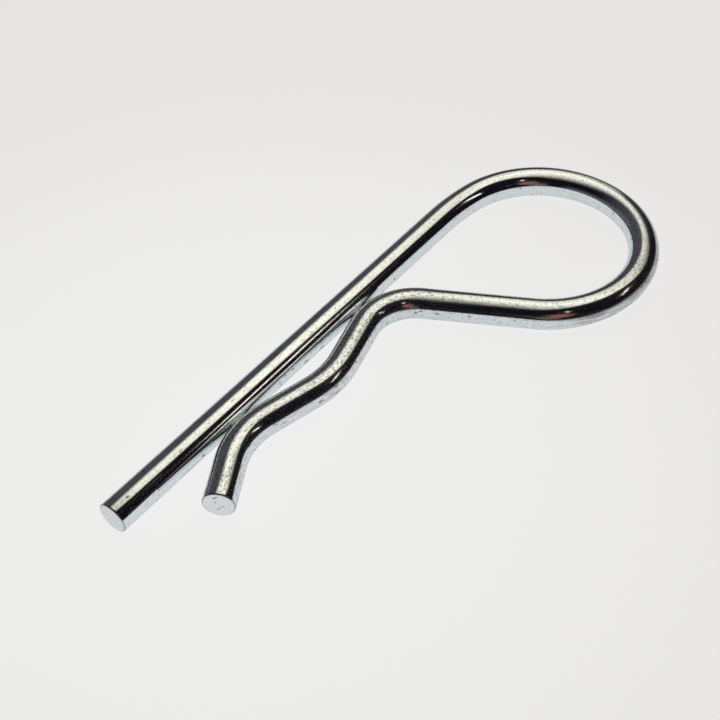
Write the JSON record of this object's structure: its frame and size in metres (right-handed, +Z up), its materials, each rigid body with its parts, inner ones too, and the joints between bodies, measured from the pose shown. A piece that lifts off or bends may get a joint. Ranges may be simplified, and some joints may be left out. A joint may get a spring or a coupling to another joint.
{
  "type": "r clip",
  "caption": "R-shaped retaining clip of round spring wire: a straight leg for a cross hole, a round eye to pull, and a waved leg that grips the shaft.",
  "frame": {"origin": "middle of the clip's bounding box, on the surface it lies on", "axes": "+X along the straight leg from its free tip towards the eye, +Y across the clip towards the straight leg, +Z up through the thickness of the wire"},
  "size_m": [0.0824, 0.0314, 0.004],
  "materials": {
    "zinc_wire": "bright zinc plate on drawn spring steel wire"
  },
  "bodies": {
    "root": {"r_clip": "zinc_wire"}
  },
  "joints": []
}
